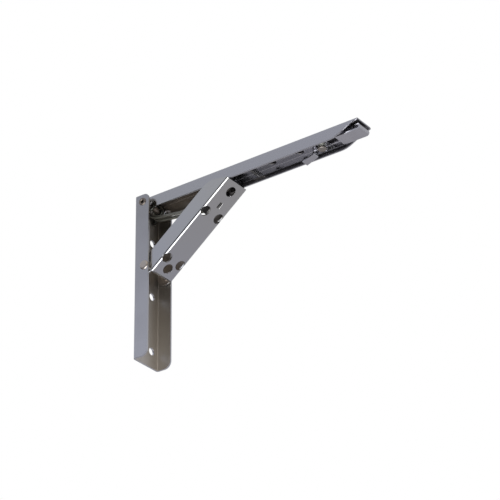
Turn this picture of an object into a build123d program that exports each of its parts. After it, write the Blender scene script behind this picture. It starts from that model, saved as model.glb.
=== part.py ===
"""Folding shelf bracket in stainless sheet: wall channel, arm, strut, latch and springs.

Millimetres, +Z up, +X out of the wall. The origin is the centre of the wall screw pattern,
on the mounting face. The arm is modelled out and level, as it carries a shelf.
"""
from build123d import *
from math import asin, atan2, cos, hypot, radians, sin
import os

# Wall channel
wall_width = 35.4
wall_depth = 16.2
wall_height = 165.0
wall_sheet = 1.8
wall_bend = 2.6
wall_foot_corner = 7.0
wall_head_corner = 5.5
screw_pitch = 55.0
screw_spacing = 14.0
screw_hole = 7.0
screw_margin = 16.3

# Arm channel
arm_side_gap = 1.7
arm_depth = 12.5
arm_sheet = 1.5
arm_bend = 2.0
arm_reach = 240.5
arm_taper = 31.0
arm_taper_middle = 14.5
arm_taper_rise = 5.5
shelf_hole = 5.5
shelf_hole_pitch = 30.0
shelf_hole_start = 32.0
shelf_hole_past_latch = 21.0

# Main hinge of the arm
hinge_x = 9.0
hinge_drop = 7.4
hinge_pin_size = 5.2
hinge_pin_bore = 3.4
hinge_head = 7.4
hinge_head_height = 0.8
hinge_ear = 10.8
spacer_size = 9.2
notch_reach = 7.2
notch_drop = 3.0
notch_size = 8.0

# Strut
strut_side_gap = 1.2
strut_depth = 17.4
strut_sheet = 1.5
strut_bend = 2.1
strut_pivot_x = 11.6
strut_pivot_drop = 66.8
strut_start = 2.0
strut_end = 110.0
strut_head_lip = 2.2
strut_head_run = 15.0
strut_head_round = 18.0
strut_hole = 10.0
strut_hole_spacing = 19.1
strut_hole_pair = 18.6
strut_hole_foot = 10.0
strut_hole_head = 100.5
folded_gap = 0.3

# Strut rivets and washers
rivet_shank = 5.0
rivet_head = 8.8
rivet_head_height = 1.2
rivet_tail = 7.2
rivet_tail_height = 0.8
washer_size = 11.6

# Carriage on the strut
carriage_side_gap = 1.0
carriage_sheet = 1.5
carriage_start = 70.5
carriage_length = 24.5
carriage_ear = 6.8
carriage_ear_height = 12.0
carriage_ear_corner = 2.0
carriage_tab = 4.6
carriage_tab_along = 84.6
tab_end_room = 0.8
tab_side_room = 0.95
roller_along = 100.0
roller_height = 11.0
roller_headroom = 2.25
roller_size = 8.0
roller_pin = 3.0
roller_pin_head = 4.6
roller_pin_head_height = 0.5

# Latch bar
bar_depth = 5.7
bar_sheet = 1.2
bar_bend = 1.8
bar_top_gap = 2.5
bar_end_slope = 6.0
catch_gap = 0.4
catch_lap = 1.0
handle_side_gap = 0.4
handle_overhang = 0.5
handle_return = 26.2
handle_lap = 0.6
opening_reach = 12.3
bridge_half_length = 5.0
opening_side_strip = 2.4
access_hole = 8.5

# Hook tongue of the latch bar
tongue_width = 7.2
tongue_set_back = 7.0
tongue_tip_reach = 11.7
tongue_bend_drop = 15.0
tongue_tip_drop = 19.1
tongue_bend = 1.6

# Latch pivot and its saddle
latch_pivot_x = 121.0
latch_pivot_drop = 6.8
latch_pin = 3.0
saddle_length = 13.0
saddle_sheet = 1.2
saddle_bend = 1.8
saddle_lip = 2.6
saddle_corner = 2.4
saddle_rivet = 4.0
saddle_rivet_head = 6.4
saddle_rivet_head_height = 0.5

# Latch stud and spring
stud_set_back = 44.3
stud_head = 8.4
stud_head_height = 1.5
stud_neck = 3.8
stud_shoulder = 6.0
stud_shoulder_height = 0.8
stud_face_drop = 11.6
stud_clearance = 5.4
latch_spring_wire = 0.8
latch_spring_size = 7.2
latch_spring_turns = 3

# Hinge spring
spring_wire = 2.4
spring_coil = 8.4
spring_pitch = 2.6
spring_side_gap = 1.2
spring_loop = 6.2
spring_turns = 1
spring_tail = 11.0
spring_leave_angle = 245.0
spring_foot_along = 77.5

# Fits
running = 0.05
side_gap = 0.2
seat_gap = 0.3

# Widths that nest inside one another, from the wall channel inwards
strut_width = wall_width - 2 * (wall_sheet + strut_side_gap)
arm_width = strut_width - 2 * (strut_sheet + arm_side_gap)
saddle_width = arm_width - 2 * (arm_sheet + seat_gap)
bar_width = saddle_width - 2 * (saddle_sheet + seat_gap)
carriage_width = bar_width - 2 * (bar_sheet + carriage_side_gap)
handle_width = bar_width - 2 * handle_side_gap
opening_width = bar_width - 2 * opening_side_strip

# Heights and places that follow from the sizes
wall_bottom = -screw_margin - screw_pitch
wall_top = wall_bottom + wall_height
arm_bottom = wall_top - arm_depth
arm_ceiling = wall_top - arm_sheet
hinge_z = wall_top - hinge_drop
pivot_z = hinge_z - strut_pivot_drop
pivot_depth = strut_pivot_x - wall_sheet - folded_gap
bar_top = arm_ceiling - bar_top_gap
bar_bottom = bar_top - bar_depth
bar_web_underside = bar_top - bar_sheet
latch_pivot_z = wall_top - latch_pivot_drop
shelf_hole_outer = latch_pivot_x + shelf_hole_past_latch
stud_x = arm_reach - stud_set_back
handle_outer = arm_reach + handle_overhang
handle_inner = handle_outer - handle_return
bar_flange_end = handle_inner - handle_lap
tongue_x = stud_x - tongue_set_back

# Lean of the strut, which puts its roller just under the web of the latch bar
roller_rise = bar_web_underside - roller_headroom - roller_size / 2 - pivot_z
roller_offset = roller_height - pivot_depth
lean = asin(roller_rise / hypot(roller_along, roller_offset)) - atan2(roller_offset, roller_along)

# Directions of the strut: along it, and from its web into the channel
strut_along = Vector(cos(lean), 0, sin(lean))
strut_inward = Vector(-sin(lean), 0, cos(lean))
strut_foot = Vector(strut_pivot_x, 0, pivot_z) - strut_inward * pivot_depth
strut_side = Plane(origin=strut_foot, x_dir=strut_along, z_dir=(0, -1, 0))
strut_web = Plane(origin=strut_foot, x_dir=strut_along, z_dir=strut_inward)
strut_section = Plane(origin=strut_foot, x_dir=strut_inward, z_dir=strut_along)


def strut_point(along, height):
    """Point in the middle plane, by its place along the strut and its height over the web."""
    return strut_foot + strut_along * along + strut_inward * height


roller_centre = strut_point(roller_along, roller_height)
bar_start = roller_centre.X + roller_size / 2 + catch_gap
catch_z = roller_centre.Z + roller_size / 2 - catch_lap


def draw_channel(section, depth, width, sheet, bend):
    """Open channel section: the web on the sketch's Y axis and the flanges along its X axis."""
    Rectangle(depth, width, align=(Align.MIN, Align.CENTER))
    with Locations((sheet, 0)):
        Rectangle(depth, width - 2 * sheet, align=(Align.MIN, Align.CENTER), mode=Mode.SUBTRACT)
    fillet(section.vertices().group_by(Axis.X)[1], bend - sheet)
    fillet(section.vertices().group_by(Axis.X)[0], bend)


def cross_plane(x, z):
    """Half-section plane of a piece turned about a cross axis: sketch X is the part's Y."""
    return Plane(origin=(x, 0, z), x_dir=(0, 1, 0), z_dir=(1, 0, 0))


def cross_axis(x, z):
    """Axis of a cross pin, along Y."""
    return Axis((x, 0, z), (0, 1, 0))


def upright_plane(x):
    """Half-section plane of a piece turned about an upright axis at this reach."""
    return Plane(origin=(x, 0, 0), x_dir=(1, 0, 0), z_dir=(0, -1, 0))


def hanging_section(x, z):
    """Section plane of a channel that opens downwards and runs outwards from this reach."""
    return Plane(origin=(x, 0, z), x_dir=(0, 0, -1), z_dir=(1, 0, 0))


# Wall channel: a bent U with six screw holes, a pair in each row
with BuildPart() as wall_channel:
    with BuildSketch(Plane.XY.offset(wall_bottom)) as wall_section:
        draw_channel(wall_section, wall_depth, wall_width, wall_sheet, wall_bend)
    extrude(amount=wall_height)
    wall_ends = wall_channel.edges().filter_by(Axis.Y).group_by(Axis.X)[-1].group_by(Axis.Z)
    fillet(wall_ends[0], wall_foot_corner)
    fillet(wall_ends[-1], wall_head_corner)
    with BuildSketch(Plane.YZ):
        with GridLocations(screw_spacing, screw_pitch, 2, 3):
            Circle(screw_hole / 2)
    extrude(amount=wall_depth / 2, mode=Mode.SUBTRACT)
    with BuildSketch(Plane.XZ):
        with Locations((hinge_x, hinge_z)):
            Circle(hinge_pin_size / 2 + running)
        with Locations((strut_pivot_x, pivot_z)):
            Circle(rivet_shank / 2 + running)
    extrude(amount=wall_width, both=True, mode=Mode.SUBTRACT)

# Arm channel: opens downwards, with ears round the hinge, a notch behind them and tapered ends
arm_root = hinge_x - hinge_ear / 2
notch_centre = (hinge_x + notch_reach, hinge_z - notch_drop)
with BuildPart() as arm_channel:
    with BuildSketch(hanging_section(arm_root, wall_top)) as arm_section:
        draw_channel(arm_section, arm_depth, arm_width, arm_sheet, arm_bend)
    extrude(amount=arm_reach - arm_root)
    with BuildSketch(Plane.XZ) as arm_outline:
        with BuildLine():
            top = Line((hinge_x - hinge_pin_size / 2, wall_top), (arm_reach, wall_top))
            taper_start = (arm_reach - arm_taper, arm_bottom)
            tip = Line(top @ 1, (arm_reach, wall_top - arm_sheet))
            taper_middle = (arm_reach - arm_taper_middle, arm_bottom + arm_taper_rise)
            taper = Spline(tip @ 1, taper_middle, taper_start, tangents=((-1, -0.4), (-1, 0)))
            edge = Line(taper @ 1, (hinge_x - hinge_pin_size / 2, arm_bottom))
            Line(edge @ 1, top @ 0)
        make_face()
        with Locations((hinge_x, hinge_z)):
            Circle(hinge_ear / 2)
        with Locations(notch_centre):
            Circle(notch_size / 2, mode=Mode.SUBTRACT)
            Rectangle(notch_size, arm_depth, align=(Align.CENTER, Align.MAX), mode=Mode.SUBTRACT)
        with Locations((hinge_x, hinge_z)):
            Circle(hinge_pin_size / 2 + running, mode=Mode.SUBTRACT)
    extrude(amount=arm_width, both=True, mode=Mode.INTERSECT)
    with BuildSketch(Plane.XY.offset(wall_top)):
        for first in (shelf_hole_start, shelf_hole_outer):
            with Locations((first, 0), (first + shelf_hole_pitch, 0)):
                Circle(shelf_hole / 2)
        with Locations((latch_pivot_x, 0)):
            Circle(saddle_rivet / 2 + running)
        with Locations((stud_x, 0)):
            Circle(stud_neck / 2 + running)
    extrude(amount=-arm_depth / 2, mode=Mode.SUBTRACT)

# Strut channel: round at its foot, cut level under the arm at its head, with six holes and a slot
foot_round = strut_depth - pivot_depth
with BuildPart() as strut_channel:
    with BuildSketch(strut_section.offset(-foot_round)) as strut_profile:
        draw_channel(strut_profile, strut_depth, strut_width, strut_sheet, strut_bend)
    extrude(amount=strut_end + foot_round)
    with BuildSketch(strut_side) as strut_outline:
        with BuildLine():
            Polyline(
                (strut_start, 0),
                (strut_end, 0),
                (strut_end, strut_head_lip),
                (strut_end - strut_head_run, strut_depth),
                (0, strut_depth),
                (0, pivot_depth - foot_round),
                close=True,
            )
        make_face()
        head_corner = strut_outline.vertices().group_by(Axis.Y)[-1].sort_by(Axis.X)[-1]
        fillet(head_corner, strut_head_round)
        with Locations((0, pivot_depth)):
            Circle(foot_round)
            Circle(rivet_shank / 2 + running, mode=Mode.SUBTRACT)
    extrude(amount=strut_width, both=True, mode=Mode.INTERSECT)
    with BuildSketch(strut_web.offset(-strut_sheet)):
        for row in (strut_hole_pair, strut_hole_pair + screw_pitch):
            with Locations((row, 0)):
                with GridLocations(strut_width, strut_hole_spacing, 1, 2):
                    Circle(strut_hole / 2)
        with Locations((strut_hole_foot, 0), (strut_hole_head, 0)):
            Circle(strut_hole / 2)
        with Locations((carriage_tab_along, 0)):
            Rectangle(carriage_tab + 2 * tab_end_room, carriage_sheet + 2 * tab_side_room)
    extrude(amount=strut_sheet + strut_bend, mode=Mode.SUBTRACT)

# Hinge pin: one tubular rivet right across, with a flared head at each end
pin_half = wall_width / 2
with BuildPart() as hinge_pin:
    with BuildSketch(cross_plane(hinge_x, hinge_z)) as pin_section:
        Rectangle(2 * (pin_half + hinge_head_height), hinge_pin_size / 2, align=(Align.CENTER, Align.MIN))
        for end in (-1, 1):
            with Locations((end * (pin_half + hinge_head_height / 2), 0)):
                Rectangle(hinge_head_height, hinge_head / 2, align=(Align.CENTER, Align.MIN))
        pin_rims = pin_section.vertices().group_by(Axis.Y)[-1]
        fillet([pin_rims.sort_by(Axis.X)[0], pin_rims.sort_by(Axis.X)[-1]], hinge_head_height * 0.6)
    revolve(axis=cross_axis(hinge_x, hinge_z))
    with BuildSketch(Plane.XZ):
        with Locations((hinge_x, hinge_z)):
            Circle(hinge_pin_bore / 2)
    extrude(amount=wall_width, both=True, mode=Mode.SUBTRACT)
    bore_rims = hinge_pin.edges().filter_by(GeomType.CIRCLE).filter_by(
        lambda rim: abs(rim.radius - hinge_pin_bore / 2) < running
    )
    chamfer(bore_rims, hinge_head_height / 2)


def draw_ring(x, z, outer, inner):
    """Ring section in an upright sketch, by its two radii."""
    with Locations((x, z)):
        Circle(outer)
        Circle(inner, mode=Mode.SUBTRACT)


# Hinge spacers: keep the arm in the middle of the wall channel
spacer_inner = arm_width / 2 + side_gap
spacer_outer = wall_width / 2 - wall_sheet - side_gap
with BuildPart() as hinge_spacer_left:
    with BuildSketch(Plane.XZ.offset(spacer_inner)):
        draw_ring(hinge_x, hinge_z, spacer_size / 2, hinge_pin_size / 2 + running)
    extrude(amount=spacer_outer - spacer_inner)
with BuildPart() as hinge_spacer_right:
    add(hinge_spacer_left.part.mirror(Plane.XZ))

# Strut rivets: one at each side, so that the folded arm can pass between their flat tails
tail_face = strut_width / 2 - strut_sheet - side_gap
with BuildPart() as strut_rivet_left:
    with BuildSketch(cross_plane(strut_pivot_x, pivot_z)) as rivet_section:
        with BuildLine():
            head_rim = (-wall_width / 2, rivet_head / 2)
            Polyline(
                (-wall_width / 2 - rivet_head_height, 0),
                (-tail_face + rivet_tail_height, 0),
                (-tail_face + rivet_tail_height, rivet_tail / 2),
                (-tail_face, rivet_tail / 2),
                (-tail_face, rivet_shank / 2),
                (-wall_width / 2, rivet_shank / 2),
                head_rim,
            )
            Spline(
                head_rim,
                (-wall_width / 2 - rivet_head_height, 0),
                tangents=((-1, 0.2), (0, -1)),
            )
        make_face()
    revolve(axis=cross_axis(strut_pivot_x, pivot_z))
with BuildPart() as strut_rivet_right:
    add(strut_rivet_left.part.mirror(Plane.XZ))

# Strut washers: wide rings that hold the strut off the wall channel's flanges
washer_inner = strut_width / 2 + side_gap
washer_outer = wall_width / 2 - wall_sheet - side_gap
with BuildPart() as strut_washer_left:
    with BuildSketch(Plane.XZ.offset(washer_inner)):
        draw_ring(strut_pivot_x, pivot_z, washer_size / 2, rivet_shank / 2 + running)
    extrude(amount=washer_outer - washer_inner)
with BuildPart() as strut_washer_right:
    add(strut_washer_left.part.mirror(Plane.XZ))

# Carriage: a small channel staked through the strut's slot, whose ears carry the roller
carriage_middle = carriage_start + carriage_length / 2
ear_gap = carriage_width / 2 - carriage_sheet
with BuildPart() as slide_carriage:
    with BuildSketch(strut_side):
        with Locations((carriage_middle, strut_sheet)):
            Rectangle(carriage_length, carriage_sheet, align=(Align.CENTER, Align.MIN))
        with Locations((carriage_start + carriage_ear_corner, carriage_ear_height - carriage_ear_corner)):
            Circle(carriage_ear_corner)
        with Locations((roller_along, roller_height)):
            Circle(carriage_ear / 2)
        make_hull()
    extrude(amount=carriage_width / 2, both=True)
    with BuildSketch(strut_side):
        with Locations((carriage_start, strut_sheet + carriage_sheet)):
            Rectangle(strut_end, strut_depth, align=(Align.MIN, Align.MIN))
        with Locations((carriage_start + carriage_length, 0)):
            Rectangle(strut_end, strut_depth, align=(Align.MIN, Align.MIN))
    extrude(amount=ear_gap, both=True, mode=Mode.SUBTRACT)
    with BuildSketch(strut_side):
        with Locations((roller_along, roller_height)):
            Circle(roller_pin / 2 + running)
    extrude(amount=carriage_width, both=True, mode=Mode.SUBTRACT)
    with BuildSketch(strut_web.offset(side_gap)):
        with Locations((carriage_tab_along, 0)):
            Rectangle(carriage_tab, carriage_sheet)
    extrude(amount=strut_sheet)

# Roller and its headed pin, between the carriage's ears
with BuildPart() as carriage_roller:
    with BuildSketch(Plane.XZ):
        draw_ring(roller_centre.X, roller_centre.Z, roller_size / 2, roller_pin / 2 + running)
    extrude(amount=ear_gap - side_gap, both=True)
    roller_rims = carriage_roller.edges().filter_by(GeomType.CIRCLE).group_by(SortBy.RADIUS)[-1]
    fillet(roller_rims, side_gap * 3)
pin_reach = carriage_width / 2
with BuildPart() as carriage_pin:
    with BuildSketch(cross_plane(roller_centre.X, roller_centre.Z)):
        Rectangle(2 * pin_reach, roller_pin / 2, align=(Align.CENTER, Align.MIN))
        for end in (-1, 1):
            with Locations((end * (pin_reach + roller_pin_head_height / 2), 0)):
                Rectangle(roller_pin_head_height, roller_pin_head / 2, align=(Align.CENTER, Align.MIN))
    revolve(axis=cross_axis(roller_centre.X, roller_centre.Z))

# Latch bar: a long channel inside the arm, ending in a hemmed handle
hem = (bar_depth - bar_sheet) / 2
sheet_middle = bar_top - bar_sheet / 2
outer_opening = bar_flange_end - bar_bend - stud_x - bridge_half_length
with BuildPart() as latch_bar:
    with BuildSketch(hanging_section(bar_start, bar_top)) as bar_section:
        draw_channel(bar_section, bar_depth, bar_width, bar_sheet, bar_bend)
    extrude(amount=bar_flange_end - bar_start)
    with BuildSketch(Plane.XZ):
        with BuildLine():
            Polyline(
                (bar_start - bar_sheet, catch_z),
                (bar_start + bar_sheet, catch_z),
                (bar_start + bar_sheet + bar_end_slope, bar_bottom),
                (bar_start + bar_sheet + bar_end_slope, bar_bottom - bar_sheet),
                (bar_start - bar_sheet, bar_bottom - bar_sheet),
                close=True,
            )
        make_face()
    extrude(amount=bar_width, both=True, mode=Mode.SUBTRACT)
    with BuildSketch(Plane.YZ.offset(bar_start)):
        with Locations((0, catch_z)):
            catch_width = bar_width - 2 * bar_sheet
            Rectangle(catch_width, bar_web_underside - catch_z, align=(Align.CENTER, Align.MIN))
    extrude(amount=bar_sheet)
    with BuildSketch(Plane.XY.offset(bar_top)):
        with Locations((stud_x - opening_reach, 0)):
            Rectangle(opening_reach - bridge_half_length, opening_width, align=(Align.MIN, Align.CENTER))
        with Locations((stud_x + bridge_half_length, 0)):
            Rectangle(outer_opening, opening_width, align=(Align.MIN, Align.CENTER))
        with Locations((stud_x, 0)):
            Circle(stud_clearance / 2)
        with Locations((shelf_hole_outer, 0), (shelf_hole_outer + shelf_hole_pitch, 0)):
            Circle(access_hole / 2)
    extrude(amount=-bar_depth / 2, mode=Mode.SUBTRACT)
    with BuildSketch(Plane.XZ):
        with BuildLine():
            hem_start = (handle_outer - hem - bar_sheet / 2, sheet_middle)
            Line((bar_flange_end - bar_bend, sheet_middle), hem_start)
            turn = JernArc(start=hem_start, tangent=(1, 0), radius=hem, arc_size=-180)
            Line(turn @ 1, (handle_inner, (turn @ 1).Y))
        trace(line_width=bar_sheet)
    extrude(amount=handle_width / 2, both=True)
    with BuildSketch(Plane.XZ):
        with BuildLine():
            FilletPolyline(
                (stud_x - opening_reach - bar_sheet, sheet_middle),
                (tongue_x, sheet_middle),
                (tongue_x, wall_top - tongue_bend_drop),
                (tongue_x - tongue_tip_reach, wall_top - tongue_tip_drop),
                radius=tongue_bend,
            )
        trace(line_width=bar_sheet)
    extrude(amount=tongue_width / 2, both=True)
    with BuildSketch(Plane.XZ):
        with Locations((latch_pivot_x, latch_pivot_z)):
            Circle(latch_pin / 2 + running)
    extrude(amount=bar_width, both=True, mode=Mode.SUBTRACT)

# Latch saddle: riveted under the arm's web, it straddles the bar and carries its pivot pin
saddle_bottom = latch_pivot_z - saddle_lip
with BuildPart() as latch_saddle:
    with BuildSketch(hanging_section(latch_pivot_x - saddle_length / 2, arm_ceiling)) as saddle_section:
        draw_channel(saddle_section, arm_ceiling - saddle_bottom, saddle_width, saddle_sheet, saddle_bend)
    extrude(amount=saddle_length)
    fillet(latch_saddle.edges().filter_by(Axis.Y).group_by(Axis.Z)[0], saddle_corner)
    with BuildSketch(Plane.XZ):
        with Locations((latch_pivot_x, latch_pivot_z)):
            Circle(latch_pin / 2 + running)
    extrude(amount=arm_width, both=True, mode=Mode.SUBTRACT)
    with BuildSketch(Plane.XY.offset(arm_ceiling)):
        with Locations((latch_pivot_x, 0)):
            Circle(saddle_rivet / 2 + running)
    extrude(amount=-saddle_sheet, mode=Mode.SUBTRACT)

with BuildPart() as saddle_rivet_pin:
    with BuildSketch(Plane.XY.offset(wall_top)):
        with Locations((latch_pivot_x, 0)):
            Circle(saddle_rivet / 2)
    extrude(amount=-arm_sheet - saddle_sheet)
    with BuildSketch(Plane.XY.offset(arm_ceiling - saddle_sheet)):
        with Locations((latch_pivot_x, 0)):
            Circle(saddle_rivet_head / 2)
    extrude(amount=-saddle_rivet_head_height)

with BuildPart() as latch_pivot_pin:
    with BuildSketch(cross_plane(latch_pivot_x, latch_pivot_z)):
        Rectangle(saddle_width, latch_pin / 2, align=(Align.CENTER, Align.MIN))
    revolve(axis=cross_axis(latch_pivot_x, latch_pivot_z))
    chamfer(latch_pivot_pin.edges().filter_by(GeomType.CIRCLE), side_gap)

# Latch stud: a shouldered rivet set in the arm's web, whose head holds the latch spring
stud_face = wall_top - stud_face_drop
stud_seat = stud_face + stud_head_height
with BuildPart() as latch_stud:
    with BuildSketch(upright_plane(stud_x)) as stud_section:
        with BuildLine():
            Polyline(
                (0, wall_top),
                (stud_neck / 2, wall_top),
                (stud_neck / 2, arm_ceiling),
                (stud_shoulder / 2, arm_ceiling),
                (stud_shoulder / 2, arm_ceiling - stud_shoulder_height),
                (stud_neck / 2, arm_ceiling - stud_shoulder_height),
                (stud_neck / 2, stud_seat),
                (stud_head / 2, stud_seat),
                (stud_head / 2, stud_face),
                (0, stud_face),
                close=True,
            )
        make_face()
        head_rim = stud_section.vertices().group_by(Axis.Y)[0].sort_by(Axis.X)[-1]
        fillet(head_rim, stud_head_height / 3)
    revolve(axis=Axis((stud_x, 0, 0), (0, 0, 1)))

# Latch spring: a small compression coil round the stud, from its head up to the bar
coil_mean = (latch_spring_size - latch_spring_wire) / 2
coil_rise = bar_web_underside - stud_seat - latch_spring_wire - side_gap
coil_base = stud_seat + (latch_spring_wire + side_gap) / 2
with BuildPart() as latch_spring:
    with BuildLine():
        coil = Helix(
            pitch=coil_rise / latch_spring_turns,
            height=coil_rise,
            radius=coil_mean,
            center=(stud_x, 0, coil_base),
        )
    with BuildSketch(Plane(origin=coil @ 0, z_dir=coil % 0)):
        Circle(latch_spring_wire / 2)
    sweep(path=coil, is_frenet=True)

# Hinge spring: a double torsion spring round the hinge pin. Its short tails lie on the wall
# web, and its long loop presses on the strut's web
coil_angle = 360 * spring_turns + spring_leave_angle - 180
coil_steps = 16
tail_x = wall_sheet + (seat_gap + spring_wire) / 2
tail_y = arm_width / 2 - arm_sheet - spring_side_gap - spring_wire / 2
leg_y = tail_y - spring_pitch * coil_angle / 360


def hinge_coil_point(share):
    """Point of the near coil's centre line, from the tail at 0 to the leg at 1."""
    turn = radians(180 + coil_angle * share)
    return Vector(
        hinge_x + spring_coil / 2 * cos(turn),
        -tail_y + (tail_y - leg_y) * share,
        hinge_z + spring_coil / 2 * sin(turn),
    )


def leg_point(share, sag, across):
    """Point of the near leg, by its share of the way out, its height over the straight line and its Y."""
    straight = leg_start + (leg_end - leg_start) * share
    return Vector(straight.X, -across, straight.Z + sag)


leg_start = hinge_coil_point(1)
leg_end = strut_point(spring_foot_along, strut_sheet + carriage_sheet + (seat_gap + spring_wire) / 2)
leg_out = radians(spring_leave_angle + 90)
with BuildPart() as hinge_spring:
    with BuildLine() as coil_line:
        Spline([hinge_coil_point(step / coil_steps) for step in range(coil_steps + 1)])
    with BuildSketch(Plane(origin=coil_line.line @ 0, z_dir=coil_line.line % 0)):
        Circle(spring_wire / 2)
    sweep(path=coil_line.line)
    with BuildLine() as leg_line:
        Spline(
            leg_start,
            leg_point(0.3, -0.2, leg_y - 0.1),
            leg_point(0.62, 0.5, leg_y - 0.5),
            leg_point(0.9, 0.5, spring_loop / 2),
            leg_point(0.965, 0.35, spring_loop / 2 - 0.7),
            leg_end,
            tangents=((cos(leg_out), 0, sin(leg_out)), (0, 1, 0)),
        )
    with BuildSketch(Plane(origin=leg_line.line @ 0, z_dir=leg_line.line % 0)):
        Circle(spring_wire / 2)
    sweep(path=leg_line.line)
    tail_start = hinge_coil_point(0)
    with BuildLine() as tail_line:
        Line(tail_start, (tail_x, tail_start.Y, tail_start.Z - spring_tail))
    with BuildSketch(Plane(origin=tail_line.line @ 0, z_dir=tail_line.line % 0)):
        Circle(spring_wire / 2)
    sweep(path=tail_line.line)
    mirror(about=Plane.XZ)

os.makedirs("parts", exist_ok=True)
pieces = {
    "wall_channel": wall_channel,
    "arm_channel": arm_channel,
    "strut_channel": strut_channel,
    "hinge_pin": hinge_pin,
    "hinge_spacer_left": hinge_spacer_left,
    "hinge_spacer_right": hinge_spacer_right,
    "hinge_spring": hinge_spring,
    "strut_rivet_left": strut_rivet_left,
    "strut_rivet_right": strut_rivet_right,
    "strut_washer_left": strut_washer_left,
    "strut_washer_right": strut_washer_right,
    "slide_carriage": slide_carriage,
    "carriage_roller": carriage_roller,
    "carriage_pin": carriage_pin,
    "latch_bar": latch_bar,
    "latch_saddle": latch_saddle,
    "saddle_rivet": saddle_rivet_pin,
    "latch_pivot_pin": latch_pivot_pin,
    "latch_stud": latch_stud,
    "latch_spring": latch_spring,
}
for name, piece in pieces.items():
    piece.part.label = name
    export_step(piece.part, f"parts/{name}.step")
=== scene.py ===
"""Looks of a folding shelf bracket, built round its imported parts. Metres, +Z up, +X out of the wall."""

import math

import bpy
from mathutils import Matrix, Vector


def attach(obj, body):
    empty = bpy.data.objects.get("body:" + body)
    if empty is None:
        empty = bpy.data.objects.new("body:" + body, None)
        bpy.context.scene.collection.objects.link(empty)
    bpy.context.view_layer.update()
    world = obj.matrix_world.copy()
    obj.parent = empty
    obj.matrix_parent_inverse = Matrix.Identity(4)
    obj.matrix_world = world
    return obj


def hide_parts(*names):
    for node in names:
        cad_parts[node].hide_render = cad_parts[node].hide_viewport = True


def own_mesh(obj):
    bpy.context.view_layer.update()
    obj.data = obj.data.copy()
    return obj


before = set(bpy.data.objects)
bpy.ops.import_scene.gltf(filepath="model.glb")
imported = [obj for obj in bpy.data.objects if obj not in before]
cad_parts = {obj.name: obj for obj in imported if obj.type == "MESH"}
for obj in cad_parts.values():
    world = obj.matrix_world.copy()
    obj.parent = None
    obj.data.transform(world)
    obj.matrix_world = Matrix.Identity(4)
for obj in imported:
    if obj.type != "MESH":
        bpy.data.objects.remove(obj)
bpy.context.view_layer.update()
MM = 0.001


def srgb(code):
    """Linear colour from a hex code."""
    channels = [int(code[i:i + 2], 16) / 255 for i in (1, 3, 5)]
    return tuple(c / 12.92 if c <= 0.04045 else ((c + 0.055) / 1.055) ** 2.4 for c in channels) + (1.0,)


def add_node(tree, kind, links=(), settings=(), **values):
    """A shader node: settings are its own options, values fill inputs and links join them to sockets."""
    node = tree.nodes.new(kind)
    for key, value in settings:
        setattr(node, key, value)
    for key, value in values.items():
        node.inputs[key.replace("_", " ")].default_value = value
    for key, socket in links:
        tree.links.new(socket, node.inputs[key])
    return node


# Room: a pale floor well below the bracket and a white backdrop, in a dimmer room that the polished
# steel mirrors. It is cool on one side, warm on the other and dark low down. A soft box lies low in
# front, out of the camera's sight, and gives the white line along the strut's bend.
bpy.context.scene.view_settings.view_transform = "Standard"
world = bpy.data.worlds.new("room")
bpy.context.scene.world = world
world.use_nodes = True
room = world.node_tree
toward = add_node(room, "ShaderNodeTexCoord").outputs["Generated"]
heading = add_node(room, "ShaderNodeSeparateXYZ", [("Vector", toward)]).outputs


def room_mix(factor, low, high, first, second):
    """Two colours of the room, mixed where a value rises from low to high."""
    share = add_node(room, "ShaderNodeMapRange", [("Value", factor)], [("interpolation_type", "SMOOTHSTEP")])
    share.inputs["From Min"].default_value = low
    share.inputs["From Max"].default_value = high
    mix = add_node(room, "ShaderNodeMix", [("Factor", share.outputs["Result"])], [("data_type", "RGBA")])
    for socket, colour in ((6, first), (7, second)):
        if isinstance(colour, tuple):
            mix.inputs[socket].default_value = colour
        else:
            room.links.new(colour, mix.inputs[socket])
    return mix.outputs[2]


cool_wall = (0.48, 0.49, 0.54, 1)
warm_wall = (0.60, 0.55, 0.48, 1)
dark_foot = (0.03, 0.03, 0.035, 1)
grey_wall = (0.5, 0.5, 0.52, 1)
backdrop = (1, 1, 1, 1)
near_side = room_mix(heading["X"], -0.4, 0.4, cool_wall, warm_wall)
low_side = room_mix(heading["Z"], 0.08, 0.34, dark_foot, near_side)
far_side = room_mix(heading["Y"], -0.1, 0.4, low_side, grey_wall)
seen = add_node(room, "ShaderNodeLightPath").outputs["Is Camera Ray"]
whole_room = room_mix(seen, 0, 1, far_side, backdrop)
room.links.new(whole_room, room.nodes["Background"].inputs["Color"])

floor_reach = 4
floor_level = -1.6
floor_mesh = bpy.data.meshes.new("floor")
corner_signs = ((-1, -1), (1, -1), (1, 1), (-1, 1))
floor_corners = [(x * floor_reach, y * floor_reach, floor_level) for x, y in corner_signs]
floor_mesh.from_pydata(floor_corners, [], [(0, 1, 2, 3)])
floor = bpy.data.objects.new("floor", floor_mesh)
bpy.context.scene.collection.objects.link(floor)
floor_paint = bpy.data.materials.new("pale_floor")
floor_paint.use_nodes = True
floor_coat = floor_paint.node_tree.nodes["Principled BSDF"]
floor_coat.inputs["Base Color"].default_value = srgb("#e3e3e9")
floor_coat.inputs["Roughness"].default_value = 0.8
floor_mesh.materials.append(floor_paint)

soft_box_side = 2.1
box_data = bpy.data.lights.new("soft_box", "AREA")
box_data.shape = "RECTANGLE"
box_data.size = soft_box_side
box_data.size_y = soft_box_side
box_data.energy = 55
soft_box = bpy.data.objects.new("soft_box", box_data)
soft_box.location = (0.75, -1.15, -1.5)
soft_box.rotation_euler = (math.pi, 0, 0)
soft_box.visible_camera = False
bpy.context.scene.collection.objects.link(soft_box)

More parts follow.
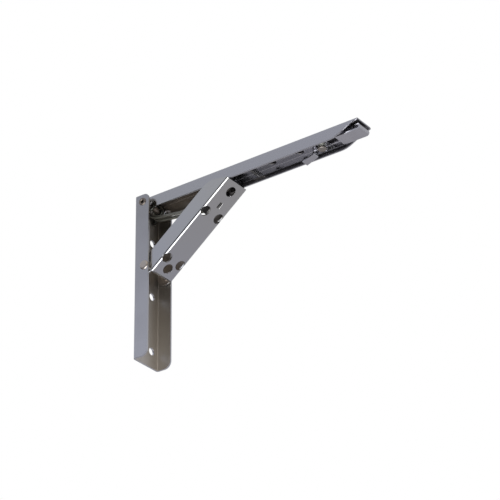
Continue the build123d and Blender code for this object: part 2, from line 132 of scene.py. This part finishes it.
# The camera stands where the photo's stood, by a fit to the edges that the photo shows
camera = bpy.data.objects.new("camera", bpy.data.cameras.new("camera"))
camera.data.lens = 152.693
camera.data.clip_end = 20
camera.matrix_world = Matrix((
    (0.810614, 0.289603, 0.508984, 1.068111),
    (0.585460, -0.381069, -0.715596, -1.337436),
    (-0.013280, 0.878039, -0.478427, -0.886460),
    (0, 0, 0, 1),
))
bpy.context.scene.collection.objects.link(camera)
bpy.context.scene.camera = camera


# Folded sheet: the wall channel, the arm and the strut, stamped and bent from stainless steel. It is
# polished outside, so it mirrors the room softly. Inside each channel the colour is browner and
# darker, painted shade in the hollow, and the surface is duller than the outside.
def measure(tree, direction, start, end):
    """How far a point lies from start to end, in mm along a direction, as a value from 0 to 1."""
    place = add_node(tree, "ShaderNodeTexCoord").outputs["Object"]
    reach = add_node(tree, "ShaderNodeVectorMath", [(0, place)], [("operation", "DOT_PRODUCT")])
    reach.inputs[1].default_value = direction
    share = add_node(tree, "ShaderNodeMapRange", [("Value", reach.outputs["Value"])])
    share.inputs["From Min"].default_value = start * MM
    share.inputs["From Max"].default_value = end * MM
    return share.outputs["Result"]


def blend_colours(tree, factor, first, second):
    """A mix of two colours, each a hex code or a socket."""
    mix = add_node(tree, "ShaderNodeMix", [("Factor", factor)], [("data_type", "RGBA")])
    for number, colour in ((6, first), (7, second)):
        if isinstance(colour, str):
            mix.inputs[number].default_value = srgb(colour)
        else:
            tree.links.new(colour, mix.inputs[number])
    return mix.outputs[2]


def steel(name, first, last, roughness, rolled=(1, 1, 1), run=((0, 0, 1), -100, 100)):
    """Stainless or plain steel. Its tone goes from first to last along run, with slow clouds in it.

    rolled squeezes its drawn lines along the rolling direction. They are 0.5 mm apart, coarser than
    real ones, so that they show.
    """
    line_spacing = 0.5 * MM
    cloud_size = 22 * MM
    cloud_share = 0.3
    gloss_change = 0.02
    material = bpy.data.materials.new(name)
    material.use_nodes = True
    tree = material.node_tree
    shader = tree.nodes["Principled BSDF"]
    shader.inputs["Metallic"].default_value = 1.0
    place = add_node(tree, "ShaderNodeTexCoord").outputs["Object"]
    along = add_node(tree, "ShaderNodeMapping", [("Vector", place)], Scale=rolled).outputs["Vector"]
    lines = add_node(tree, "ShaderNodeTexNoise", [("Vector", along)], Scale=1 / line_spacing, Detail=2.0)
    cloud = add_node(tree, "ShaderNodeTexNoise", [("Vector", place)], Scale=1 / cloud_size, Detail=2.0)
    drift = add_node(tree, "ShaderNodeMapRange", [("Value", cloud.outputs["Fac"])])
    drift.inputs["To Min"].default_value = -cloud_share
    drift.inputs["To Max"].default_value = cloud_share
    tone = add_node(tree, "ShaderNodeMath", [(0, measure(tree, *run)), (1, drift.outputs["Result"])])
    tree.links.new(blend_colours(tree, tone.outputs[0], first, last), shader.inputs["Base Color"])
    height = lines.outputs["Fac"]
    gloss = add_node(tree, "ShaderNodeMapRange", [("Value", height)])
    gloss.inputs["To Min"].default_value = roughness - gloss_change
    gloss.inputs["To Max"].default_value = roughness + gloss_change
    tree.links.new(gloss.outputs["Result"], shader.inputs["Roughness"])
    bump = add_node(tree, "ShaderNodeBump", [("Height", height)], Strength=0.02, Distance=0.01 * MM)
    tree.links.new(bump.outputs["Normal"], shader.inputs["Normal"])
    return material


def paint_shade_inside(material, inward, depth, half_width, near, far, run, roughness=0.42):
    """Painted shade where a point is deeper than depth along inward and nearer the middle than half_width.

    There the colour is browner and goes from near to far along run, darker at far, and the roughness is
    duller.
    """
    tree = material.node_tree
    shader = tree.nodes["Principled BSDF"]
    place = add_node(tree, "ShaderNodeTexCoord").outputs["Object"]
    side = add_node(tree, "ShaderNodeSeparateXYZ", [("Vector", place)]).outputs["Y"]
    width = add_node(tree, "ShaderNodeMath", [(0, side)], [("operation", "ABSOLUTE")]).outputs[0]
    within = add_node(tree, "ShaderNodeMath", [(0, width)], [("operation", "LESS_THAN")])
    within.inputs[1].default_value = half_width * MM
    deep = measure(tree, inward, depth - 0.01, depth + 0.01)
    both = [(0, within.outputs[0]), (1, deep)]
    inside = add_node(tree, "ShaderNodeMath", both, [("operation", "MULTIPLY")]).outputs[0]
    shade_tone = blend_colours(tree, measure(tree, *run), near, far)
    outside = shader.inputs["Base Color"].links[0].from_socket
    tree.links.new(blend_colours(tree, inside, outside, shade_tone), shader.inputs["Base Color"])
    polish = shader.inputs["Roughness"].links[0].from_socket
    dull = add_node(tree, "ShaderNodeMix", [("Factor", inside), (2, polish)])
    dull.inputs[3].default_value = roughness
    tree.links.new(dull.outputs[0], shader.inputs["Roughness"])


# Smooth shading over bends and round edges, sharp where faces meet at more than sharp_turn
sharp_turn = math.radians(42)
shading = bpy.data.node_groups.new("smooth_bends", "GeometryNodeTree")
shading.interface.new_socket("Geometry", in_out="INPUT", socket_type="NodeSocketGeometry")
shading.interface.new_socket("Geometry", in_out="OUTPUT", socket_type="NodeSocketGeometry")
whole = shading.nodes.new("NodeGroupInput").outputs[0]
angle = shading.nodes.new("GeometryNodeInputMeshEdgeAngle").outputs["Unsigned Angle"]
sharp = add_node(shading, "ShaderNodeMath", [(0, angle)], [("operation", "GREATER_THAN")])
sharp.inputs[1].default_value = sharp_turn
smooth = "GeometryNodeSetShadeSmooth"
faces = add_node(shading, smooth, [("Geometry", whole)], Shade_Smooth=True).outputs[0]
edges = add_node(shading, smooth, [("Geometry", faces)], [("domain", "EDGE")], Shade_Smooth=False)
shading.links.new(sharp.outputs[0], edges.inputs["Selection"])
shading.links.new(edges.outputs[0], shading.nodes.new("NodeGroupOutput").inputs[0])


def dress(node, material, edge_mm=0.0, full_edges=False):
    """Gives a part's own node its material, and breaks its sharp edges by edge_mm.

    full_edges keeps that width also beside short edges, as at holes that cross a bend.
    """
    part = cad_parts[node]
    part.data.materials.clear()
    part.data.materials.append(material)
    if edge_mm:
        weld = part.modifiers.new("weld", "WELD")
        weld.merge_threshold = 0.002 * MM
        flats = part.modifiers.new("whole_flats", "DECIMATE")
        flats.decimate_type = "DISSOLVE"
        flats.angle_limit = math.radians(0.5)
        edge = part.modifiers.new("broken_edges", "BEVEL")
        edge.width = edge_mm * MM
        edge.segments = 2
        edge.limit_method = "ANGLE"
        edge.angle_limit = math.radians(50)
        edge.use_clamp_overlap = not full_edges
        part.modifiers.new("smooth_bends", "NODES").node_group = shading
        flat = part.modifiers.new("flat_faces", "WEIGHTED_NORMAL")
        flat.keep_sharp = True
        flat.mode = "FACE_AREA_WITH_ANGLE"
        flat.weight = 80


along_arm = (1, 0, 0)
up = (0, 0, 1)
# The wall channel's outside is painted darker towards its top, as shade under the arm.
wall_steel = steel("stainless_wall_channel", "#d1d2d8", "#b5b5b8", 0.26,
                   rolled=(1, 1, 0.03), run=(up, -70, 80))
# Painted shade inside the wall channel: browner, and darker towards its far side and its top.
paint_shade_inside(wall_steel, inward=(1, 0, 0), depth=1.7, half_width=16.0,
              near="#d2cec9", far="#a09b94", run=((0, 1.5, 1), -60, 60))
arm_steel = steel("stainless_arm", "#c4c5c7", "#c6c6cb", 0.24,
                  rolled=(0.03, 1, 1), run=(along_arm, 20, 200))
# Painted shade inside the arm: lighter near the hinge and darker further out.
paint_shade_inside(arm_steel, inward=(0, 0, -1), depth=-92.3, half_width=10.1,
              near="#a39c94", far="#77767a", run=(along_arm, 40, 120))

# The strut leans from its foot pivot to the arm, with its web on the far side from the corner
strut_lean = math.radians(38)
strut_pivot_x = 11.6
strut_pivot_z = 19.5
strut_web_drop = 9.5
along_strut = (math.cos(strut_lean), 0, math.sin(strut_lean))
off_strut = (-math.sin(strut_lean), 0, math.cos(strut_lean))
strut_web = strut_pivot_x * off_strut[0] + strut_pivot_z * off_strut[2] - strut_web_drop
strut_steel = steel("stainless_strut", "#c8cacf", "#cbcbc9", 0.22,
                    rolled=(0.2, 1, 0.2), run=(along_strut, 25, 125))
# Painted shade inside the strut, darker towards its upper end.
paint_shade_inside(strut_steel, inward=off_strut, depth=strut_web + 1.4, half_width=13.3,
              near="#bfb6af", far="#99948e", run=(along_strut, 35, 105))
dress("wall_channel", wall_steel, 0.25, full_edges=True)
dress("arm_channel", arm_steel, 0.25, full_edges=True)
dress("strut_channel", strut_steel, 0.3, full_edges=True)

# Pins, rivets, spacers and washers: turned or headed from steel wire and rod, then tumbled, so they
# are duller and warmer than the sheet. The spacers are painted dark, as shade inside the hinge.
rivet_steel = steel("headed_rivet_steel", "#d6cdc4", "#cbc3ba", 0.34)
stud_steel = steel("headed_stud_steel", "#a8a29b", "#9c968f", 0.34)
plain_steel = steel("tumbled_steel", "#a9a59e", "#98948e", 0.36)
for node in ("strut_rivet_left", "strut_rivet_right", "carriage_pin"):
    dress(node, rivet_steel)
dress("latch_stud", stud_steel)
pin_steel = steel("formed_pin_steel", "#a0978d", "#938a81", 0.45)
dress("hinge_pin", pin_steel)
# Dark spacers: painted shade inside the hinge.
spacer_steel = steel("spacer_steel_painted_shade", "#56524e", "#4a4744", 0.45)
for node in ("strut_washer_left", "strut_washer_right"):
    dress(node, plain_steel)
for node in ("hinge_spacer_left", "hinge_spacer_right"):
    dress(node, spacer_steel)

# Carriage and saddle: small U shaped stampings of plain steel inside the channels, not polished.
# The carriage is hooked in the strut, and the saddle is riveted to the arm and holds the latch's pin.
small_edge = 0.15
carriage_steel = steel("dull_carriage_steel", "#7d7c7c", "#6f6e6d", 0.4)
dress("slide_carriage", carriage_steel, small_edge)
dress("saddle_rivet", carriage_steel)
dress("latch_pivot_pin", carriage_steel)
dress("latch_saddle", plain_steel, small_edge)

# Latch bar: one strip of stainless sheet, folded and hemmed, that tilts inside the arm. It is
# smoother than the channels, so it mirrors them. Its colour is painted darker at its inner end and
# brighter towards its handle, as painted shade and reflection.
latch_steel = steel("stainless_latch_bar", "#98989c", "#cdcdd2", 0.2,
                    rolled=(0.02, 1, 1), run=(along_arm, 90, 200))
dress("latch_bar", latch_steel, small_edge)

# Roller: painted dark and half matt, as the shade inside the strut's head. It turns on the carriage's
# pin and shows only through the strut's head hole.
roller_painted_shade = bpy.data.materials.new("roller_painted_shade")
roller_painted_shade.use_nodes = True
roller_shade_shader = roller_painted_shade.node_tree.nodes["Principled BSDF"]
roller_shade_shader.inputs["Base Color"].default_value = srgb("#45413e")
roller_shade_shader.inputs["Roughness"].default_value = 0.45
dress("carriage_roller", roller_painted_shade)

# Hinge spring: drawn wire with a greenish grey skin, painted darker at its coils as shade in the hinge.
# The coils stay on the hinge pin with a tail down the wall channel.
wire_steel = steel("spring_wire", "#bcbeb5", "#a9aba2", 0.4)
coil_steel = steel("spring_wire_painted_shade", "#62635e", "#565752", 0.4)


def wire(name, runs, radius, material):
    """A round wire along smooth runs of points, as one mesh."""
    data = bpy.data.curves.new(name, "CURVE")
    data.dimensions = "3D"
    data.bevel_depth = radius
    data.bevel_resolution = 3
    data.resolution_u = 4
    data.use_fill_caps = True
    for run in runs:
        line = data.splines.new("NURBS")
        line.points.add(len(run) - 1)
        for point, place in zip(line.points, run):
            point.co = (*place, 1)
        line.order_u = 3
        line.use_endpoint_u = True
    bent = bpy.data.objects.new(name + "_line", data)
    mesh = bpy.data.meshes.new_from_object(bent)
    bpy.data.objects.remove(bent)
    mesh.name = name
    item = bpy.data.objects.new(name, mesh)
    bpy.context.scene.collection.objects.link(item)
    for face in mesh.polygons:
        face.use_smooth = True
    mesh.materials.clear()
    mesh.materials.append(material)
    return item


hinge = Vector((9.0, 0.0, 86.3)) * MM
coil_radius = 4.2 * MM
coil_turn = 380
coil_steps = 53
coil_start_y = 7.6
coil_walk = 3.07
tail_x = 3.35
tail_drop = 11
coils = []
for side in (-1, 1):
    run = []
    for step in range(coil_steps + 1):
        turn = math.radians(180 + coil_turn * step / coil_steps)
        across = side * (coil_start_y - coil_walk * step / coil_steps) * MM
        run.append(hinge + Vector((coil_radius * math.cos(turn), across, coil_radius * math.sin(turn))))
    tail = Vector((tail_x * MM, side * coil_start_y * MM, hinge.z - tail_drop * MM))
    coils.append([tail, tail * 0.5 + run[0] * 0.5, *run])
hinge_coils = wire("hinge_spring_coils", coils, 1.5 * MM, coil_steel)
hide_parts("hinge_spring")
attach(hinge_coils, "wall")

# The near half of the loop, from the coil down and out to its end on the carriage, then its mirror image
leg = [(5.05, -4.5, 84.9), (5.6, -4.4, 81.0), (7.6, -4.1, 77.8), (12.0, -3.6, 75.0), (18.0, -3.3, 73.6),
       (27.0, -3.2, 72.2), (45.0, -3.0, 69.8), (64.0, -2.7, 66.4), (72.5, -2.6, 64.4), (75.4, -1.9, 63.4),
       (75.7, 0.0, 63.4)]
leg = [Vector(place) * MM for place in leg]
leg += [Vector((place.x, -place.y, place.z)) for place in reversed(leg[:-1])]
hinge_loop = wire("hinge_spring_loop", [leg], 1.6 * MM, wire_steel)
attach(hinge_loop, "wall")
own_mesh(hinge_loop)

# Latch spring: a short coil of thin drawn wire round the stud, between the stud's head and the latch
# bar.
stud = Vector((196.2, 0, 0)) * MM
latch_coil_radius = 3.2 * MM
latch_coil_low = 84.1
latch_coil_rise = 3.9
latch_coil_turn = 1260
latch_coil_steps = 60
coil = []
for step in range(latch_coil_steps + 1):
    turn = math.radians(latch_coil_turn * step / latch_coil_steps)
    rise = (latch_coil_low + latch_coil_rise * step / latch_coil_steps) * MM
    out = Vector((math.cos(turn), math.sin(turn), 0)) * latch_coil_radius
    coil.append(stud + out + Vector((0, 0, rise)))
latch_coil = wire("latch_spring_coil", [coil], 0.4 * MM, wire_steel)
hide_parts("latch_spring")
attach(latch_coil, "arm")
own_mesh(latch_coil)
